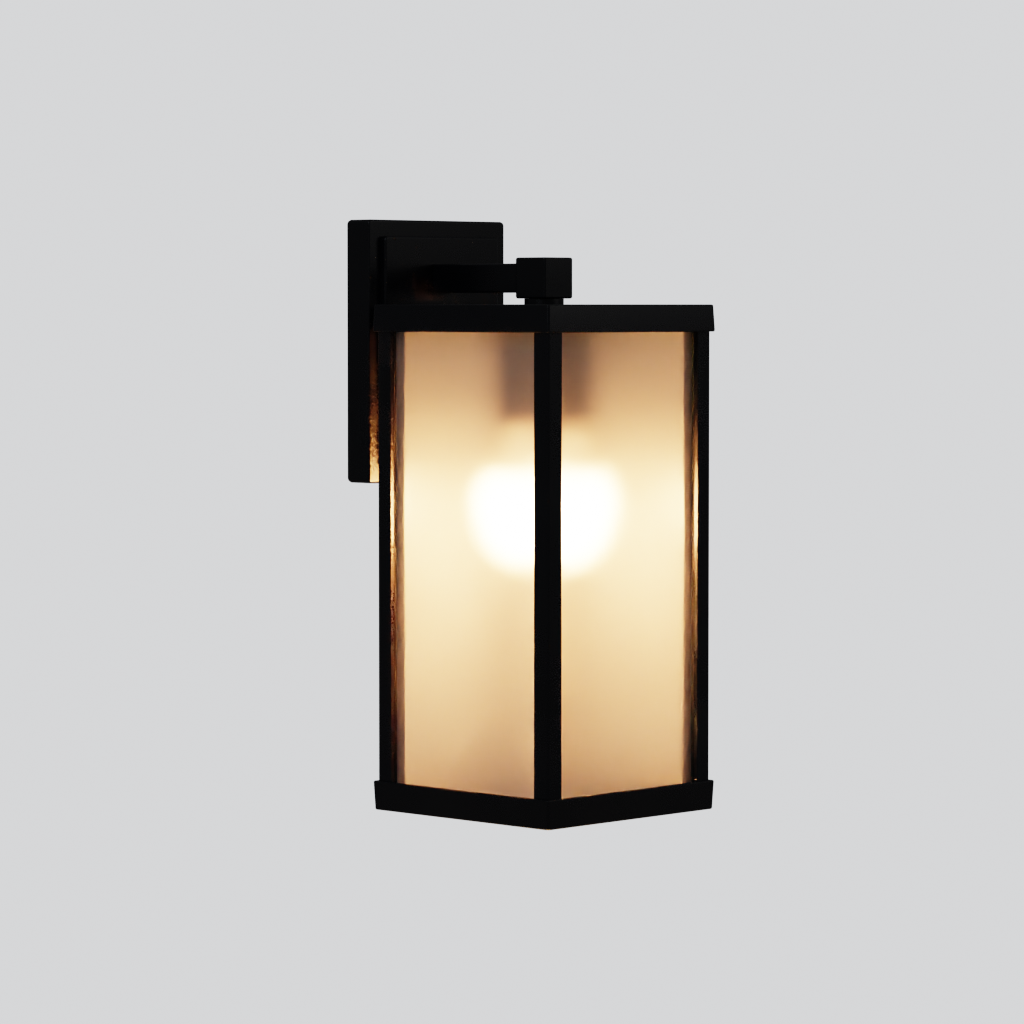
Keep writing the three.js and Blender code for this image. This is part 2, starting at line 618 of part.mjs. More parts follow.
function buildFrame(lantern) {
  addPart(lantern, "cap", cap(), BLACK_PAINT).position.z = capBottom;
  addPart(lantern, "top_plate", topPlate(), ZINC_STEEL).position.z = topPlateBottom;
  addPart(lantern, "bottom_rim", bottomRim(), BLACK_PAINT).position.z = rimBottom;
  const offset = postHalf - portDepth;
  const ledgeBottom = ledgeTop - LEDGE_THICKNESS;
  CORNERS.forEach((corner, turn) => {
    const group = new THREE.Group();
    group.rotation.z = turn * QUARTER_TURN;
    lantern.add(group);
    addPart(group, `post_${corner}`, cornerPost(), BLACK_PAINT).position.z = postBottom;
    addPart(group, `glass_retainer_${corner}`, glassRetainer(), BLACK_PAINT).position.z = postBottom;
    const topScrew = addPart(group, `top_screw_${corner}`, flushCrossScrew(FRAME_SCREW), ZINC_STEEL);
    topScrew.position.set(offset, offset, topPlateTop);
    const rimScrew = addPart(group, `rim_screw_${corner}`, flushCrossScrew(FRAME_SCREW), BLACK_PAINT);
    rimScrew.position.set(offset, offset, ledgeBottom);
    rimScrew.rotation.x = Math.PI;
  });
}

function buildGlazing(lantern) {
  const half = postHalf - glassEdge;
  const glassFront = glassDepth - postHalf;
  const sealFront = glassFront - GAP - SEAL_THICKNESS;
  const border = POST_FLANGE - glassEdge;
  const glass = block([-half, glassFront, postBottom], [half, glassFront + GLASS_THICKNESS, glassTop]);
  const sealOutside = block([-half, sealFront, postBottom], [half, glassFront - GAP, glassTop]);
  const window = block(
    [border - half, sealFront - 1, postBottom + border],
    [half - border, glassFront + 1, glassTop - border],
  );
  const seal = sealOutside.subtract(window);
  SIDES.forEach((side, turn) => {
    addPart(lantern, `glass_${side}`, glass, FROSTED_GLASS).rotation.z = turn * QUARTER_TURN;
    addPart(lantern, `glazing_seal_${side}`, seal, BLACK_RUBBER).rotation.z = turn * QUARTER_TURN;
  });
}

// ---------------------------------------------------------------- lamp socket and wires

function socketCup() {
  const inside = bar(CUP_RADIUS - CUP_WALL, -1, CUP_HEIGHT - CUP_ROOF, 32);
  return bar(CUP_RADIUS, 0, CUP_HEIGHT, 32).subtract(inside).subtract(bar(pipeHoleRadius, 0, CUP_HEIGHT + 1));
}

// The insulator is bored from below for the lamp's shell and from above for the terminal screws.
function socketInsulator() {
  let body = bar(CUP_RADIUS - CUP_WALL - GAP, socketBottom, socketTop, 32);
  body = body.subtract(bar(shellOuterRadius + GAP, socketBottom - 1, boreTop, 32));
  const shankDepth = TERMINAL_SCREW.length - TERMINAL_SCREW.headHeight - TERMINAL_LIFT + GAP;
  const hole = bar(TERMINAL_SCREW.shank + FINE_GAP, socketTop - shankDepth, socketTop + 1, 16);
  for (const side of [-1, 1]) body = body.subtract(hole.translate([side * TERMINAL_OFFSET, 0, 0]));
  return body;
}

function buildSocket(lantern) {
  addPart(lantern, "socket_cup", socketCup(), BLACK_PAINT).position.z = cupBottom;
  addPart(lantern, "socket_insulator", socketInsulator(), PORCELAIN);
  const shellLow = socketBottom + SHELL_INSET;
  const shellHigh = shellLow + SHELL_HEIGHT;
  const shellBore = bar(shellInnerRadius, shellLow - 1, shellHigh + 1, 32);
  const shell = bar(shellOuterRadius, shellLow, shellHigh, 32).subtract(shellBore);
  addPart(lantern, "socket_shell", shell, BRASS);
  const rivetTop = boreTop - GAP;
  const tongueTop = rivetTop - CONTACT_STAND;
  const tongue = block(
    [-CONTACT_LENGTH / 2, -CONTACT_WIDTH / 2, tongueTop - CONTACT_THICKNESS],
    [CONTACT_LENGTH / 2, CONTACT_WIDTH / 2, tongueTop],
  );
  const rivet = bar(CONTACT_WIDTH / 4, tongueTop - CONTACT_THICKNESS / 2, rivetTop, 16);
  addPart(lantern, "socket_centre_contact", tongue.add(rivet), BRASS);
  const terminal = panCrossScrew(TERMINAL_SCREW).translate([0, 0, socketTop + TERMINAL_LIFT]);
  addPart(lantern, "terminal_screw_line", terminal, BRASS).position.x = TERMINAL_OFFSET;
  addPart(lantern, "terminal_screw_neutral", terminal, NICKEL).position.x = -TERMINAL_OFFSET;
}

// A lead's route from its terminal up the nipple, through the hub and the arm's pipe, to its connector.
function leadRoute(side) {
  const x = side * WIRE_SPREAD;
  const terminalX = side * (TERMINAL_OFFSET - TERMINAL_SCREW.shank - WIRE_RADIUS - GAP);
  const terminalZ = socketTop + TERMINAL_LIFT / 2;
  const bend = HUB_SIDE / 2 - HUB_WALL;
  const connectorX = side * CONNECTOR_OFFSET;
  const cavityMiddle = (panelInside + plateBack) / 2;
  const lay = cavityMiddle - 2;
  return [
    [terminalX, -bodyReach, terminalZ],
    [0.5 * terminalX, -bodyReach, terminalZ + 2],
    [0.3 * terminalX, -bodyReach, (terminalZ + nippleBottom) / 2],
    [x, -bodyReach, nippleBottom - 2],
    [x, -bodyReach, capTop],
    [x, -bodyReach, ARM_HEIGHT - bend],
    [x, 0.32 * bend - bodyReach, ARM_HEIGHT - 0.32 * bend],
    [x, bend - bodyReach, ARM_HEIGHT],
    [x, 2 * bend - bodyReach, ARM_HEIGHT],
    [x, -pipeRear - bend, ARM_HEIGHT],
    [x, -pipeRear, ARM_HEIGHT],
    [1.5 * x, 2 * WIRE_RADIUS - pipeRear, ARM_HEIGHT - WIRE_RADIUS],
    [0.35 * connectorX, -lay, ARM_HEIGHT - 9],
    [0.75 * connectorX, -lay, (ARM_HEIGHT + CONNECTOR_TOP) / 2 + 8],
    [connectorX, -cavityMiddle, CONNECTOR_TOP + 12],
    [connectorX, -cavityMiddle, CONNECTOR_TOP - CONNECTOR_LENGTH / 2],
  ];
}

// A tapered twist-on connector, open at its upper end.
function wireConnector() {
  const tip = 0.65 * CONNECTOR_RADIUS;
  return turned([
    [0, -CONNECTOR_LENGTH],
    [tip, -CONNECTOR_LENGTH],
    [CONNECTOR_RADIUS, 0],
    [CONNECTOR_RADIUS - CONNECTOR_WALL, 0],
    [tip - CONNECTOR_WALL, 2 * CONNECTOR_WALL - CONNECTOR_LENGTH],
    [0, 2 * CONNECTOR_WALL - CONNECTOR_LENGTH],
  ]);
}

function buildLeads(root) {
  const step = 4.5 * WIRE_RADIUS;
  addPart(root, "lead_line", wire(leadRoute(1), step), BLACK_PVC);
  addPart(root, "lead_neutral", wire(leadRoute(-1), step), WHITE_PVC);
  const connector = wireConnector().translate([0, -(panelInside + plateBack) / 2, CONNECTOR_TOP]);
  addPart(root, "wire_connector_line", connector, ORANGE_PLASTIC).position.x = CONNECTOR_OFFSET;
  addPart(root, "wire_connector_neutral", connector, ORANGE_PLASTIC).position.x = -CONNECTOR_OFFSET;
}

// ---------------------------------------------------------------- lamp

// The globe's outside, or its inside when inset by the glass: a round end that sweeps in to the neck.
function globeProfile(inset) {
  const radius = LAMP_GLOBE_RADIUS - inset;
  const centre = LAMP_GLOBE_RADIUS - LAMP_LENGTH;
  const leave = 0.2 * Math.PI; // where the round end passes into the neck's sweep
  const neckLow = -lampShoulder;
  const neckTop = neckLow + LAMP_BASE_HEIGHT / 2;
  const start = new THREE.Vector2(radius * Math.cos(leave), centre + radius * Math.sin(leave));
  const sweep = 0.4 * (neckLow - start.y);
  const path = new THREE.Path();
  path.absarc(0, centre, radius, -Math.PI / 2, leave);
  path.bezierCurveTo(
    start.x - sweep * Math.sin(leave),
    start.y + sweep * Math.cos(leave),
    lampNeckRadius - inset,
    neckLow - sweep,
    lampNeckRadius - inset,
    neckLow - GAP,
  );
  path.lineTo(lampStemRadius - inset, neckLow);
  path.lineTo(lampStemRadius - inset, neckTop);
  return path.getPoints(5).map((point) => [Math.max(point.x, 0), point.y]);
}

function lampGlobe() {
  const outside = globeProfile(0);
  const inside = globeProfile(LAMP_GLASS).reverse();
  outside[0][0] = 0;
  inside[inside.length - 1][0] = 0;
  return turned([...outside, ...inside]);
}

function buildLamp(lantern) {
  const lamp = new THREE.Group();
  lamp.position.z = lampTop;
  lantern.add(lamp);
  const tip = turned([
    [0, -LAMP_TIP_HEIGHT],
    [LAMP_TIP_RADIUS, -LAMP_TIP_HEIGHT],
    [0.7 * LAMP_TIP_RADIUS, 0],
    [0, 0],
  ]);
  addPart(lamp, "lamp_tip_contact", tip, NICKEL);
  const insulatorTop = -LAMP_TIP_HEIGHT - GAP;
  const insulatorLow = insulatorTop - LAMP_INSULATOR_HEIGHT;
  const insulator = turned([
    [0, insulatorLow],
    [0.8 * LAMP_BASE_RADIUS, insulatorLow],
    [LAMP_TIP_RADIUS, insulatorTop],
    [0, insulatorTop],
  ]);
  addPart(lamp, "lamp_insulator", insulator, BLACK_VITRITE);
  const baseTop = insulatorLow - GAP;
  const base = bar(LAMP_BASE_RADIUS, baseTop - LAMP_BASE_HEIGHT, baseTop, 32);
  const baseBore = bar(LAMP_BASE_RADIUS - LAMP_BASE_WALL, baseTop - LAMP_BASE_HEIGHT - 1, baseTop + 1, 32);
  addPart(lamp, "lamp_base", base.subtract(baseBore), NICKEL);
  addPart(lamp, "lamp_globe", lampGlobe(), LAMP_GLASS_LOOK);
}

// ---------------------------------------------------------------- assembly

const wallLantern = new THREE.Group();
const lantern = new THREE.Group(); // everything that hangs about the lantern's upright axis
lantern.position.y = -bodyReach;
wallLantern.add(lantern);

buildWallPlate(wallLantern);
buildGround(wallLantern);
buildArm(wallLantern);
buildHub(lantern);
buildFrame(lantern);
buildGlazing(lantern);
buildSocket(lantern);
buildLeads(wallLantern);
buildLamp(lantern);

export default wallLantern;
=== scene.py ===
"""Outdoor wall lantern: the looks of its pieces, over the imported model.

Metres. X runs along the wall, +Y points into the wall and +Z is up, so the lantern's front faces -Y.
"""

import json
import math

import bmesh
import bpy
import numpy as np
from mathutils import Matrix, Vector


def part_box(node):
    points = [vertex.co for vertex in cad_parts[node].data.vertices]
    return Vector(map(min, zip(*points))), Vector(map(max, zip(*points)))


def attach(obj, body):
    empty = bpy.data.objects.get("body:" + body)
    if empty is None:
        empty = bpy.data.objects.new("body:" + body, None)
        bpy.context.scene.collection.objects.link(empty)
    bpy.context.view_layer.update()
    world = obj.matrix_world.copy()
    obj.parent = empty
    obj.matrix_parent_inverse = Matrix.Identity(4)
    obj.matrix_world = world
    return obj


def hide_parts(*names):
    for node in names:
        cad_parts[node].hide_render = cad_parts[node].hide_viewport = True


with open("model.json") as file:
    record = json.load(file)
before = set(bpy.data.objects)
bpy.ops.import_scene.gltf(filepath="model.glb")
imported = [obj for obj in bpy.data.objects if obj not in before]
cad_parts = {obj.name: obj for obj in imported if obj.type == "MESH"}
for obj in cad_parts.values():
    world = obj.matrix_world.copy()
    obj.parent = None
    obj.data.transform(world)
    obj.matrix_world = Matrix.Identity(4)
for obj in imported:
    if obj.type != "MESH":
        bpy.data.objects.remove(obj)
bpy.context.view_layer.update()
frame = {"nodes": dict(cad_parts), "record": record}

# ---------------------------------------------------------------- places taken from the frame

CAP_LOW, CAP_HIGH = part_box("cap")
LAMP_LOW, LAMP_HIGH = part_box("lamp_globe")
GLASS_LOW, GLASS_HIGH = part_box("glass_right")
AXIS_Y = (CAP_LOW.y + CAP_HIGH.y) / 2  # the lantern's upright axis, at x = 0
LAMP_MIDDLE_Z = LAMP_LOW.z + (LAMP_HIGH.x - LAMP_LOW.x) / 2
FROSTED_FACE = (GLASS_LOW.x + GLASS_HIGH.x) / 2  # halfway through a glass, from the upright axis

MM = 0.001
LAMP_GLOW = 25  # strength of the lamp's light round its sides
LAMP_LOWER_GLOW = 60  # how much stronger it gets at its lowest point
LAMP_UPPER_SHARE = 0.01  # what is left of it above the lamp's widest part
LAMP_GLOW_START = 8 * MM  # how far below its widest part the lower glow starts
LAMP_FADE = 18 * MM  # the height over which the glow fades above its widest part

# ---------------------------------------------------------------- node helpers


def new_material(name, **sockets):
    """A material with one Principled shader whose named sockets hold plain values."""
    made = bpy.data.materials.new(name)
    made.use_nodes = True
    shader = made.node_tree.nodes["Principled BSDF"]
    for socket, value in sockets.items():
        shader.inputs[socket.replace("_", " ")].default_value = value
    return made, made.node_tree, shader


def add_node(tree, kind, values=None, **settings):
    """A node of that kind, with settings made and inputs filled by plain values or by sockets to link."""
    node = tree.nodes.new(kind)
    for name, value in settings.items():
        setattr(node, name, value)
    for name, value in (values or {}).items():
        if isinstance(value, bpy.types.NodeSocket):
            tree.links.new(value, node.inputs[name])
        else:
            node.inputs[name].default_value = value
    return node


def math_node(tree, operation, first, second=0.0, third=0.0):
    """The result of one arithmetic node."""
    return add_node(tree, "ShaderNodeMath", {0: first, 1: second, 2: third}, operation=operation).outputs[0]


def place(tree):
    """The piece's own coordinates, in metres."""
    return add_node(tree, "ShaderNodeTexCoord").outputs["Object"]


def grain(tree, size, detail=3.0, roughness=0.5, stretch=(1, 1, 1)):
    """Noise from 0 to 1 whose features are about size metres across, drawn out along an axis by stretch."""
    scaled = add_node(tree, "ShaderNodeMapping", {"Vector": place(tree), "Scale": stretch}).outputs[0]
    values = {"Vector": scaled, "Scale": 1 / size, "Detail": detail, "Roughness": roughness}
    return add_node(tree, "ShaderNodeTexNoise", values).outputs["Fac"]


def spread(tree, source, low, high, start=0.3, end=0.7):
    """Maps a pattern from its useful range to another range of values."""
    values = {"Value": source, "From Min": start, "From Max": end, "To Min": low, "To Max": high}
    return add_node(tree, "ShaderNodeMapRange", values).outputs[0]


def blend_colours(tree, share, first, second):
    """The first colour where the share is 0, and the second where it is 1."""
    values = {0: share, 6: (*first, 1), 7: (*second, 1)}
    return add_node(tree, "ShaderNodeMix", values, data_type="RGBA").outputs[2]


def bump(tree, height, depth, strength=1.0):
    """A normal that follows a height pattern whose full depth is in metres."""
    values = {"Height": height, "Distance": depth, "Strength": strength}
    return add_node(tree, "ShaderNodeBump", values).outputs[0]


def grazing(tree, least, most):
    """How much a bare surface mirrors, from straight on to edge on, the same from either side."""
    facing = add_node(tree, "ShaderNodeLayerWeight", {"Blend": 0.5}).outputs["Facing"]
    return math_node(tree, "MULTIPLY_ADD", math_node(tree, "POWER", facing, 5), most - least, third=least)


# ---------------------------------------------------------------- finishes


def satin_black_paint():
    """Black powder coat: a fine orange-peel skin, cloudy gloss and a breath of dust on what faces up."""
    made, tree, shader = new_material("satin_black_paint", Specular_IOR_Level=0.5)
    clouds = grain(tree, 45 * MM, 4)
    peel = grain(tree, 0.9 * MM, 2)
    black = blend_colours(tree, spread(tree, clouds, 0, 1), (0.0048, 0.0056, 0.009), (0.008, 0.009, 0.0135))
    normal = add_node(tree, "ShaderNodeNewGeometry").outputs["Normal"]
    up = add_node(tree, "ShaderNodeSeparateXYZ", {0: normal}).outputs[2]
    film = math_node(tree, "MULTIPLY", spread(tree, up, 0, 0.05, 0.6, 1), spread(tree, clouds, 0.3, 1))
    coat = {0: film, 6: black, 7: (0.3, 0.29, 0.27, 1)}
    dusty = add_node(tree, "ShaderNodeMix", coat, data_type="RGBA")
    tree.links.new(dusty.outputs[2], shader.inputs["Base Color"])
    gloss = math_node(tree, "ADD", spread(tree, clouds, 0.24, 0.32), spread(tree, peel, -0.02, 0.02))
    tree.links.new(gloss, shader.inputs["Roughness"])
    tree.links.new(bump(tree, peel, 0.03 * MM, 0.1), shader.inputs["Normal"])
    return made


def frosted_glass():
    """Glass etched on its outer face only: lamplight spreads there, and a blurred lamp shows through it."""
    made, tree, shader = new_material("frosted_glass")
    tree.nodes.remove(shader)
    output = tree.nodes["Material Output"]
    split = add_node(tree, "ShaderNodeSeparateXYZ", {0: place(tree)})
    along = math_node(tree, "ABSOLUTE", split.outputs[0])
    across = math_node(tree, "ABSOLUTE", math_node(tree, "SUBTRACT", split.outputs[1], AXIS_Y))
    reach = math_node(tree, "MAXIMUM", along, across)
    etched = math_node(tree, "GREATER_THAN", reach, FROSTED_FACE)
    mottle = grain(tree, 2.2 * MM, 4, 0.6)
    clouds = grain(tree, 90 * MM, 2)
    tint = blend_colours(tree, spread(tree, clouds, 0, 1), (0.96, 0.95, 0.93), (0.985, 0.98, 0.965))
    etch = bump(tree, mottle, 0.03 * MM, 0.25)
    spreading = add_node(tree, "ShaderNodeBsdfTranslucent", {"Color": tint, "Normal": etch})
    milky = add_node(tree, "ShaderNodeBsdfDiffuse", {"Color": tint, "Normal": etch})
    veil = add_node(tree, "ShaderNodeMixShader", {0: 0.93, 1: spreading.outputs[0], 2: milky.outputs[0]})
    see = {"Color": tint, "Roughness": spread(tree, mottle, 0.7, 0.76), "IOR": 1.28, "Normal": etch}
    blurred = add_node(tree, "ShaderNodeBsdfRefraction", see)
    body = add_node(tree, "ShaderNodeMixShader", {0: 0.72, 1: veil.outputs[0], 2: blurred.outputs[0]})
    sheen = add_node(tree, "ShaderNodeBsdfGlossy", {"Roughness": 0.45, "Normal": etch})
    mirrored = {0: grazing(tree, 0.03, 0.5), 1: body.outputs[0], 2: sheen.outputs[0]}
    outer = add_node(tree, "ShaderNodeMixShader", mirrored)
    clear = add_node(tree, "ShaderNodeBsdfTransparent", {"Color": (0.97, 0.98, 0.975, 1)})
    shine = add_node(tree, "ShaderNodeBsdfGlossy", {"Roughness": 0.04})
    mirrored = {0: grazing(tree, 0.04, 0.9), 1: clear.outputs[0], 2: shine.outputs[0]}
    inner = add_node(tree, "ShaderNodeMixShader", mirrored)
    both = add_node(tree, "ShaderNodeMixShader", {0: etched, 1: inner.outputs[0], 2: outer.outputs[0]})
    tree.links.new(both.outputs[0], output.inputs["Surface"])
    return made


def lit_lamp_glass():
    """Soft white lamp glass, lit from inside: brightest at its lowest point and dim above its widest part."""
    made, tree, shader = new_material("lit_lamp_glass", Roughness=0.4, Emission_Color=(1.0, 0.385, 0.14, 1))
    height = add_node(tree, "ShaderNodeSeparateXYZ", {0: place(tree)}).outputs[2]
    lower = spread(tree, height, 1, 0, LAMP_LOW.z, LAMP_MIDDLE_Z - LAMP_GLOW_START)
    squared = math_node(tree, "POWER", lower, 2)
    below = math_node(tree, "MULTIPLY_ADD", squared, LAMP_LOWER_GLOW, third=LAMP_GLOW)
    dimmed = spread(tree, height, 1, LAMP_UPPER_SHARE, LAMP_MIDDLE_Z, LAMP_MIDDLE_Z + LAMP_FADE)
    glow = math_node(tree, "MULTIPLY", below, dimmed)
    mottle = spread(tree, grain(tree, 6 * MM), 0.96, 1.04)
    tree.links.new(math_node(tree, "MULTIPLY", glow, mottle), shader.inputs["Emission Strength"])
    shader.inputs["Base Color"].default_value = (0.9, 0.86, 0.78, 1)
    return made


def brushed_metal(name, light, dark, roughness=(0.25, 0.4)):
    """Plated or bright metal with fine drawn lines and cloudy tarnish."""
    made, tree, shader = new_material(name, Metallic=1.0)
    lines = grain(tree, 0.5 * MM, 3, 0.6, (1, 1, 0.08))
    clouds = grain(tree, 12 * MM, 4)
    share = math_node(tree, "MULTIPLY", spread(tree, clouds, 0, 1), spread(tree, lines, 0.7, 1))
    tree.links.new(blend_colours(tree, share, dark, light), shader.inputs["Base Color"])
    tree.links.new(spread(tree, clouds, *roughness), shader.inputs["Roughness"])
    tree.links.new(bump(tree, lines, 0.02 * MM, 0.3), shader.inputs["Normal"])
    return made


def moulded(name, light, dark, size, roughness=(0.4, 0.55), specular=0.5):
    """Plastic, rubber, ceramic or insulation: two close shades in fine grain, with slightly uneven gloss."""
    made, tree, shader = new_material(name, Specular_IOR_Level=specular)
    fine = grain(tree, size, 3)
    clouds = grain(tree, 20 * size, 3)
    share = math_node(tree, "MULTIPLY", spread(tree, fine, 0.4, 1), spread(tree, clouds, 0.4, 1))
    tree.links.new(blend_colours(tree, share, dark, light), shader.inputs["Base Color"])
    tree.links.new(spread(tree, clouds, *roughness), shader.inputs["Roughness"])
    tree.links.new(bump(tree, fine, 0.03 * MM, 0.3), shader.inputs["Normal"])
    return made


FINISHES = {
    "black_paint": satin_black_paint(),
    "frosted_glass": frosted_glass(),
    "lamp_glass": lit_lamp_glass(),
    "black_rubber": moulded(
        "foam_rubber", (0.03, 0.03, 0.03), (0.012, 0.012, 0.012), 0.6 * MM, (0.75, 0.9), 0.3
    ),
    "zinc_steel": brushed_metal("zinc_plated_steel", (0.62, 0.63, 0.64), (0.42, 0.44, 0.47)),
    "brass": brushed_metal("lamp_brass", (0.72, 0.52, 0.22), (0.5, 0.34, 0.14), (0.22, 0.38)),
    "nickel": brushed_metal("nickel_plate", (0.7, 0.68, 0.63), (0.5, 0.48, 0.44), (0.16, 0.3)),
    "porcelain": moulded("glazed_porcelain", (0.86, 0.84, 0.79), (0.78, 0.76, 0.7), 1.5 * MM, (0.12, 0.25)),
    "vitrite": moulded("black_vitrite", (0.02, 0.02, 0.024), (0.01, 0.01, 0.012), 0.8 * MM, (0.08, 0.2)),
    "green_steel": brushed_metal("green_ground_steel", (0.08, 0.36, 0.16), (0.04, 0.22, 0.1)),
    "green_pvc": moulded("green_insulation", (0.05, 0.3, 0.1), (0.03, 0.2, 0.07), 0.8 * MM),
    "black_pvc": moulded("black_insulation", (0.02, 0.02, 0.02), (0.01, 0.01, 0.01), 0.8 * MM),
    "white_pvc": moulded("white_insulation", (0.8, 0.79, 0.75), (0.7, 0.69, 0.65), 0.8 * MM),
    "orange_plastic": moulded("orange_connector_plastic", (0.75, 0.22, 0.04), (0.6, 0.16, 0.03), 0.7 * MM),
}


def dress_cad_nodes():
    """Gives each CAD node the finish of its material slot."""
    for part in frame["record"]["subparts"]:
        mesh = frame["nodes"][part["node"]].data
        mesh.materials.clear()
        mesh.materials.append(FINISHES[part["material_slot"]])


dress_cad_nodes()

# ---------------------------------------------------------------- the shapes of the pieces

SLOTS = {part["node"]: part["material_slot"] for part in frame["record"]["subparts"]}
LAMP_NODES = ("lamp_tip_contact", "lamp_insulator", "lamp_base", "lamp_globe")
SHARP_ANGLE = math.radians(48)  # edges that turn further than this are real edges, not parts of a round
FLAT_ANGLE = math.radians(0.5)  # faces that meet flatter than this become one
SIDES = 72  # points round a ring
TURN = np.linspace(0, 2 * math.pi, SIDES, endpoint=False)

THREAD_STEPS = 8  # rings of points in each turn of a thread
PIPE_PITCH = 0.94 * MM
PIPE_BORE = 3.25 * MM
PIPE_HOLE = 5.05 * MM
LAMP_PITCH = 3.63 * MM
LAMP_THREAD = 0.7 * MM
LAMP_SHEET = 0.4 * MM  # thickness of the lamp's and the socket's threaded sheet
CLEARANCE = 0.3 * MM  # between pieces that fit inside one another
LAMP_SHOULDER = 1.0 * MM  # how far the lamp's neck stands out over its base
SHELL_THREAD = 0.5 * MM
SHELL_STAND = 0.2 * MM  # how far the shell's wave stands out past its plain wall
PIPE_THREAD = 0.35 * MM
CUP_WALL = 1.2 * MM
CUP_SHOULDER = 3 * MM  # the round between the cup's side and its top
COLLAR_ROUND = 0.25 * MM
COLLAR_GAP = 0.02 * MM  # left between the collar and what it touches
CONNECTOR_FLUTES = 14
CONNECTOR_WALL = 1.2 * MM
CONNECTOR_TIP = 0.12  # share of a connector's length that is its domed tip
NUT_CHAMFER = math.tan(math.radians(60))
WELD = 0.002 * MM  # points nearer than this are one
SHEET_EDGE = 0.25 * MM  # rounding of folded and sawn metal edges
GLASS_EDGE = 0.35 * MM
SOFT_EDGE = 0.3 * MM
STAMPED_EDGE = 0.15 * MM


def finish_piece(mesh, node, round_over=0.0):
    """Shades and dresses a piece, puts it in its CAD node's place, and rounds its sharp edges if asked."""
    piece = bpy.data.objects.new(node + "_piece", mesh)
    bpy.context.scene.collection.objects.link(piece)
    mesh.materials.clear()
    mesh.materials.append(FINISHES[SLOTS[node]])
    mesh.shade_smooth()
    if round_over:
        bevel = piece.modifiers.new("round_over", "BEVEL")
        bevel.width = round_over
        bevel.segments = 3
        bevel.limit_method = "ANGLE"
        bevel.angle_limit = SHARP_ANGLE
        bevel.harden_normals = True
    else:
        mesh.set_sharp_from_angle(angle=SHARP_ANGLE)
        level = piece.modifiers.new("even_shading", "WEIGHTED_NORMAL")
        level.keep_sharp = True
    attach(piece, "lamp" if node in LAMP_NODES else "fixture")
    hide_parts(node)


def refine(round_over, *nodes):
    """Keeps each CAD node's own shape, merged into one skin so that its rounds shade smoothly."""
    for node in nodes:
        mesh = frame["nodes"][node].data.copy()
        mesh.name = node + "_piece"
        skin = bmesh.new()
        skin.from_mesh(mesh)
        bmesh.ops.remove_doubles(skin, verts=skin.verts, dist=WELD)
        bmesh.ops.dissolve_limit(skin, angle_limit=FLAT_ANGLE, verts=skin.verts, edges=skin.edges)
        skin.to_mesh(mesh)
        skin.free()
        normals = mesh.attributes.get("custom_normal")
        if normals:
            mesh.attributes.remove(normals)
        finish_piece(mesh, node, round_over)


def rings(radius, height, middle=(0.0, AXIS_Y)):
    """A grid of points: the middle plus radius times (cos t, sin t) at each height, t going once round."""
    radius, height = np.broadcast_arrays(radius, height, TURN)[:2]
    return np.stack([middle[0] + radius * np.cos(TURN), middle[1] + radius * np.sin(TURN), height], axis=-1)


def turned(profile):
    """Rows of radius and height carried round the lantern's upright axis."""
    radius, height = (column[:, None] for column in np.array(profile, float).T)
    return rings(radius, height)


def thread_wall(radius, depth, pitch, low, high):
    """A threaded wall's radii and heights: radius - depth (1 - cos(t - 2 pi z / pitch)) / 2.

    The thread fades out at both ends.
    """
    height = np.linspace(low, high, 1 + THREAD_STEPS * math.ceil((high - low) / pitch))[:, None]
    ease = np.clip(np.minimum(height - low, high - height) / pitch, 0, 1)
    wave = 0.5 - 0.5 * np.cos(TURN - 2 * math.pi * height / pitch)
    return radius - depth * ease * wave, height


def plain_bore(radius, low, high, middle):
    """Two rings that close a tube's wall from its top back down to its bottom."""
    return rings(radius, np.array([[high], [low]]), middle)


def wall_and_bore(wall, bore):
    """A closed tube skin: up the wall, then down the bore; each is radii and heights from low to high."""
    return np.concatenate([rings(*wall), rings(*bore)[::-1]])


def surface(node, points, ring=False):
    """An outward skin over a grid of points: rows join in a ring, or each end row gets a flat face."""
    rows, sides = points.shape[:2]
    row, side = np.meshgrid(np.arange(rows if ring else rows - 1), np.arange(sides), indexing="ij")
    after, above = (side + 1) % sides, (row + 1) % rows
    corners = (row * sides + side, row * sides + after, above * sides + after, above * sides + side)
    quads = np.stack(corners, axis=-1).reshape(-1, 4)
    flat = points.reshape(-1, 3)
    near = flat - flat.mean(axis=0)
    first, second, third, fourth = (near[quads[:, k]] for k in range(4))
    volume = (np.cross(first, second) * third).sum() + (np.cross(first, third) * fourth).sum()
    ends = [] if ring else [list(range(sides))[::-1], list(range((rows - 1) * sides, rows * sides))]
    polygons = quads.tolist() + ends
    mesh = bpy.data.meshes.new(node + "_piece")
    mesh.from_pydata(flat.tolist(), [], polygons if volume > 0 else [polygon[::-1] for polygon in polygons])
    finish_piece(mesh, node)


def lying(points, middle_z):
    """Turns an upright piece about the origin so that its height runs out from the wall, at that height."""
    return np.stack([points[..., 0], -points[..., 2], middle_z + points[..., 1]], axis=-1)


def lamp_globe():
    """The lamp's glass: a ball below its middle, a cosine sweep up to the neck, and a stem in the base."""
    ball = (LAMP_HIGH.x - LAMP_LOW.x) / 2
    base_low, base_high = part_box("lamp_base")
    base = (base_high.x - base_low.x) / 2
    stem = base - LAMP_THREAD - LAMP_SHEET - CLEARANCE
    neck = base + LAMP_SHOULDER
    angle = np.linspace(-0.495 * math.pi, 0, 36)
    lower = np.column_stack([ball * np.cos(angle), LAMP_MIDDLE_Z + ball * np.sin(angle)])
    share = np.linspace(0, 1, 40)[1:]
    shoulder = base_low.z - CLEARANCE
    sweep = neck + (ball - neck) * (1 + np.cos(math.pi * share)) / 2
    upper = np.column_stack([sweep, LAMP_MIDDLE_Z + (shoulder - LAMP_MIDDLE_Z) * share])
    inside = [(stem, shoulder + 0.2 * MM), (stem, LAMP_HIGH.z)]
    surface("lamp_globe", turned(np.concatenate([lower, upper, inside])))


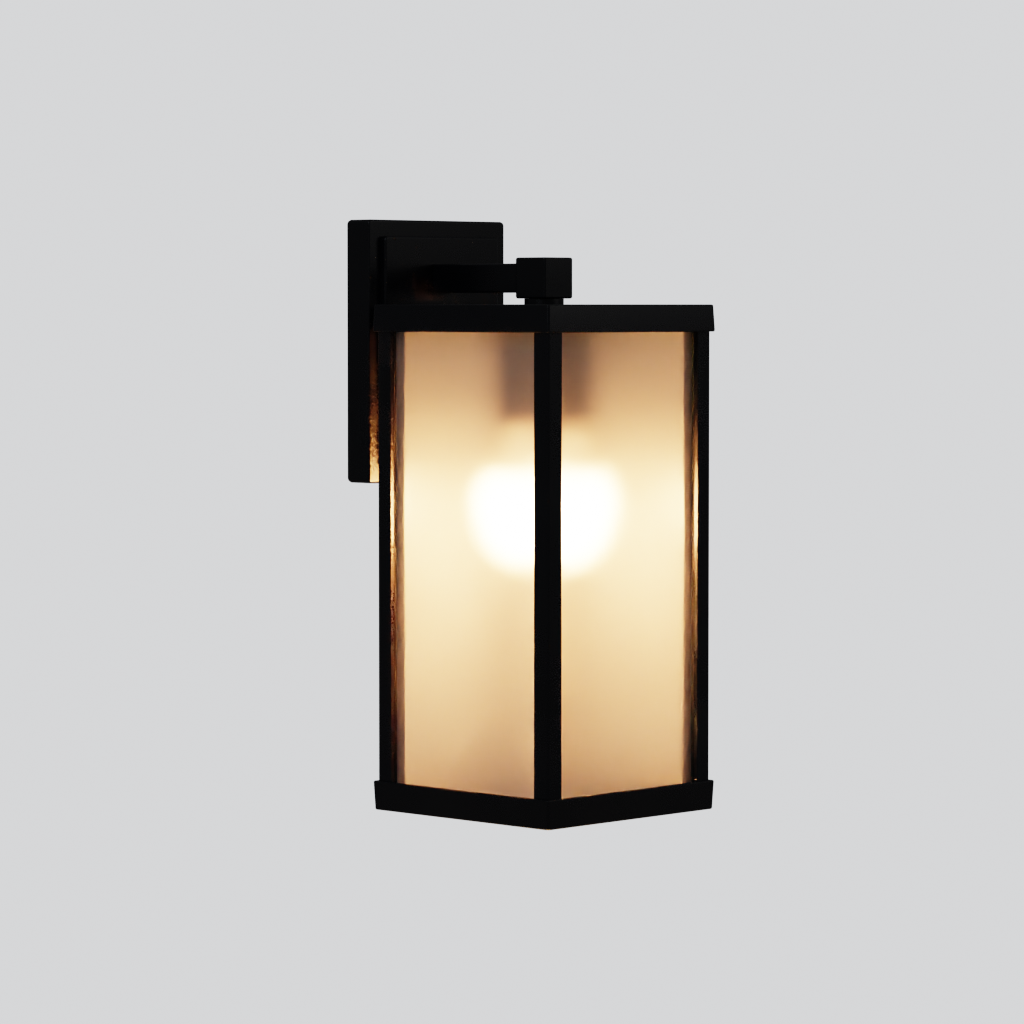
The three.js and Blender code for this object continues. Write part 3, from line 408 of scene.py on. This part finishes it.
def lamp_base():
    """The lamp's thin threaded base, the same wave on its outside and its inside."""
    low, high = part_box("lamp_base")
    outside = (high.x - low.x) / 2
    wall = thread_wall(outside, LAMP_THREAD, LAMP_PITCH, low.z, high.z)
    bore = (wall[0] - LAMP_SHEET, wall[1])
    surface("lamp_base", wall_and_bore(wall, bore), ring=True)


def socket_shell():
    """The socket's thin threaded shell, whose wave lies outside the lamp's so that the lamp slides clear."""
    low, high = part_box("socket_shell")
    bore_radius = (high.x - low.x) / 2 + SHELL_STAND - LAMP_SHEET
    bore = thread_wall(bore_radius, SHELL_THREAD, LAMP_PITCH, low.z, high.z)
    wall = (bore[0] + LAMP_SHEET, bore[1])
    surface("socket_shell", wall_and_bore(wall, bore), ring=True)


def socket_cup():
    """The cup over the socket: a straight hollow wall, a rolled mouth, and a rounded shoulder with a hole."""
    low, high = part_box("socket_cup")
    outside = (high.x - low.x) / 2
    half = CUP_WALL / 2
    roll = np.linspace(-math.pi, 0, 9)
    lip = np.column_stack([outside - half + half * np.cos(roll), low.z + half + half * np.sin(roll)])
    corner = np.linspace(0, math.pi / 2, 9)
    bend = CUP_SHOULDER * np.column_stack([np.cos(corner), np.sin(corner)])
    over = bend + (outside - CUP_SHOULDER, high.z - CUP_SHOULDER)
    under = over[::-1] - (CUP_WALL, CUP_WALL)
    hole = [(PIPE_HOLE, high.z), (PIPE_HOLE, high.z - CUP_WALL)]
    surface("socket_cup", turned(np.concatenate([lip, over, hole, under])), ring=True)


def collar():
    """The round collar, full height from the cap's roof to the hub's underside, with softened rims."""
    low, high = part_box("hub_collar")
    outside, soft = (high.x - low.x) / 2, COLLAR_ROUND
    bottom, top = CAP_HIGH.z + COLLAR_GAP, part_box("hub")[0].z - COLLAR_GAP
    profile = [(PIPE_HOLE, bottom), (outside - soft, bottom), (outside - 0.3 * soft, bottom + 0.3 * soft)]
    profile += [(outside, bottom + soft), (outside, top - soft), (outside - 0.3 * soft, top - 0.3 * soft)]
    profile += [(outside - soft, top), (PIPE_HOLE, top)]
    surface("hub_collar", turned(profile), ring=True)


def pipes():
    """The two threaded pipes: a fine thread all along, and a plain bore."""
    for node, upright in (("nipple", True), ("arm_pipe", False)):
        low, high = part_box(node)
        start, end = (low.z, high.z) if upright else (-high.y, -low.y)
        wall = thread_wall((high.x - low.x) / 2, PIPE_THREAD, PIPE_PITCH, start, end)
        middle = (0.0, AXIS_Y if upright else 0.0)
        points = np.concatenate([rings(*wall, middle), plain_bore(PIPE_BORE, start, end, middle)])
        surface(node, points if upright else lying(points, (low.z + high.z) / 2), ring=True)


def nuts():
    """Hexagon nuts: flat distance over cos of the angle from the nearest flat, cut by a cone at each face."""
    for node, upright in (("nipple_nut", True), ("arm_pipe_nut", False)):
        low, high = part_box(node)
        flat = (high.x - low.x) / 2
        start, end = (low.z, high.z) if upright else (-high.y, -low.y)
        height = np.linspace(start, end, 17)[:, None]
        hexagon = flat / np.cos((TURN + math.pi / 6) % (math.pi / 3) - math.pi / 6)
        cone = 0.98 * flat + NUT_CHAMFER * np.minimum(height - start, end - height)
        wall = np.minimum(hexagon, cone)
        middle = (0.0, AXIS_Y if upright else 0.0)
        points = np.concatenate([rings(wall, height, middle), plain_bore(PIPE_HOLE, start, end, middle)])
        surface(node, points if upright else lying(points, (low.z + high.z) / 2), ring=True)


def wire_connectors():
    """Twist-on connectors: a taper with a domed tip and flutes, open and hollow at the top."""
    for node in ("wire_connector_line", "wire_connector_neutral"):
        low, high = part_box(node)
        middle = ((low.x + high.x) / 2, (low.y + high.y) / 2)
        outside = (high.x - low.x) / 2
        share = np.linspace(0, 1, 41)[:, None]
        dome = np.clip(1 - (1 - share / CONNECTOR_TIP) ** 2, 0.02, 1) ** (share < CONNECTOR_TIP)
        taper = outside * (0.65 + 0.35 * share) * np.sqrt(dome)
        flutes = 0.06 * np.clip((share - CONNECTOR_TIP) / 0.1, 0, 1) * np.clip((0.85 - share) / 0.05, 0, 1)
        outer = taper * (1 - flutes * (0.5 + 0.5 * np.cos(CONNECTOR_FLUTES * TURN)))
        height = low.z + (high.z - low.z) * share
        inner = np.maximum(taper[8:] - CONNECTOR_WALL, CLEARANCE) + 0 * TURN
        points = np.concatenate([rings(outer, height, middle), rings(inner, height[8:], middle)[::-1]])
        surface(node, points)


def all_corners(stem):
    """The four nodes of that name, one at each corner."""
    return [f"{stem}_{depth}_{side}" for depth in ("front", "rear") for side in ("left", "right")]


def all_sides(stem):
    """The four nodes of that name, one on each side."""
    return [f"{stem}_{side}" for side in ("front", "right", "rear", "left")]


lamp_globe()
lamp_base()
socket_shell()
socket_cup()
collar()
pipes()
nuts()
wire_connectors()
refine(0, "cap", "bottom_rim", "back_plate", "hub")
refine(SHEET_EDGE, *all_corners("post"), *all_corners("glass_retainer"))
refine(SHEET_EDGE, "top_plate", "arm_tube", "mounting_bracket")
refine(GLASS_EDGE, *all_sides("glass"))
refine(SOFT_EDGE, *all_sides("glazing_seal"), "wall_gasket")
refine(SOFT_EDGE, "socket_insulator", "lamp_insulator", "lamp_tip_contact")
refine(0, "ground_wire", "lead_line", "lead_neutral", "plate_screw_upper", "plate_screw_lower")
refine(0, *all_corners("top_screw"), *all_corners("rim_screw"), "bracket_ground_screw", "plate_ground_screw")
refine(STAMPED_EDGE, "arm_pipe_washer", "nipple_washer", "socket_centre_contact")
refine(0, "terminal_screw_line", "terminal_screw_neutral")

# ---------------------------------------------------------------- setting, light and camera

FLOOR_DROP = 1.9  # from the wall plate's middle down to the ground
FLOOR_RADIUS = 6
STUDIO_SEEN = 0.142  # strength of the studio as the camera sees it
STUDIO_LIGHT = 0.016  # strength of the light that it gives
GROUND_SEEN = 0.1
CAMERA_LENS = 145.46
CAMERA_PLACE = (-2.0494, AXIS_Y - 1.9518, CAP_HIGH.z + 0.0009)
CAMERA_DOWN = math.radians(2.89)
CAMERA_TURN = math.radians(-45.954)
EXPOSURE = 3.2  # in stops: every light is dim, so that no indirect light is clipped


def add_floor():
    """A plain pale ground under the lantern: one wide disc, as light to see as the studio."""
    turn = np.linspace(0, 2 * math.pi, 96, endpoint=False)
    rim = np.stack([FLOOR_RADIUS * np.cos(turn), FLOOR_RADIUS * np.sin(turn), 0 * turn - FLOOR_DROP], axis=-1)
    mesh = bpy.data.meshes.new("pale_ground")
    mesh.from_pydata(rim.tolist(), [], [list(range(len(turn)))])
    ground = bpy.data.objects.new("pale_ground", mesh)
    bpy.context.scene.collection.objects.link(ground)
    made, tree, shader = new_material("pale_ground", Roughness=0.9)
    pale = blend_colours(tree, grain(tree, 0.3, 4), (0.72, 0.72, 0.73), (0.77, 0.77, 0.77))
    tree.links.new(pale, shader.inputs["Base Color"])
    shader.inputs["Emission Color"].default_value = (0.66, 0.66, 0.67, 1)
    seen = add_node(tree, "ShaderNodeLightPath").outputs["Is Camera Ray"]
    tree.links.new(spread(tree, seen, 0, GROUND_SEEN, 0, 1), shader.inputs["Emission Strength"])
    mesh.materials.append(made)


def add_surroundings():
    """A pale studio: the camera sees it bright, and the lantern is lit by a dimmer share of it."""
    world = bpy.data.worlds.new("studio")
    bpy.context.scene.world = world
    world.use_nodes = True
    tree = world.node_tree
    background = tree.nodes["Background"]
    background.inputs["Color"].default_value = (0.65, 0.66, 0.68, 1)
    seen = add_node(tree, "ShaderNodeLightPath").outputs["Is Camera Ray"]
    tree.links.new(spread(tree, seen, STUDIO_LIGHT, STUDIO_SEEN, 0, 1), background.inputs["Strength"])


def add_softbox(name, centre, target, size, power, colour):
    """A soft rectangular light that faces a target."""
    light = bpy.data.lights.new(name, "AREA")
    light.shape = "RECTANGLE"
    light.size, light.size_y = size
    light.energy = power
    light.color = colour
    lamp = bpy.data.objects.new(name, light)
    bpy.context.scene.collection.objects.link(lamp)
    aim = np.array(target) - np.array(centre)
    lamp.location = centre
    tilt = math.acos(-aim[2] / np.linalg.norm(aim))
    lamp.rotation_euler = (tilt, 0, math.atan2(aim[1], aim[0]) - math.pi / 2)


def add_camera():
    """Standing off to the lantern's left front, a little above its cap and looking slightly down."""
    camera = bpy.data.cameras.new("camera")
    camera.lens = CAMERA_LENS
    camera.sensor_width = 36
    view = bpy.data.objects.new("camera", camera)
    bpy.context.scene.collection.objects.link(view)
    view.location = CAMERA_PLACE
    view.rotation_euler = (math.pi / 2 - CAMERA_DOWN, 0, CAMERA_TURN)
    bpy.context.scene.camera = view


add_floor()
add_surroundings()
add_softbox("left_softbox", (-1.8, -0.6, 1.2), (0, AXIS_Y, -0.1), (1.2, 1.6), 0.7, (0.86, 0.92, 1.0))
add_softbox("right_softbox", (1.4, -2.2, 1.0), (0, AXIS_Y, -0.1), (1.4, 1.8), 0.4, (1.0, 0.97, 0.93))
add_softbox("ground_bounce", (0, AXIS_Y, -0.6), (0, AXIS_Y, 0), (0.3, 0.3), 0.5, (1.0, 0.6, 0.28))
add_camera()
bpy.context.scene.view_settings.view_transform = "Filmic"
bpy.context.scene.view_settings.look = "High Contrast"
bpy.context.scene.view_settings.exposure = EXPOSURE
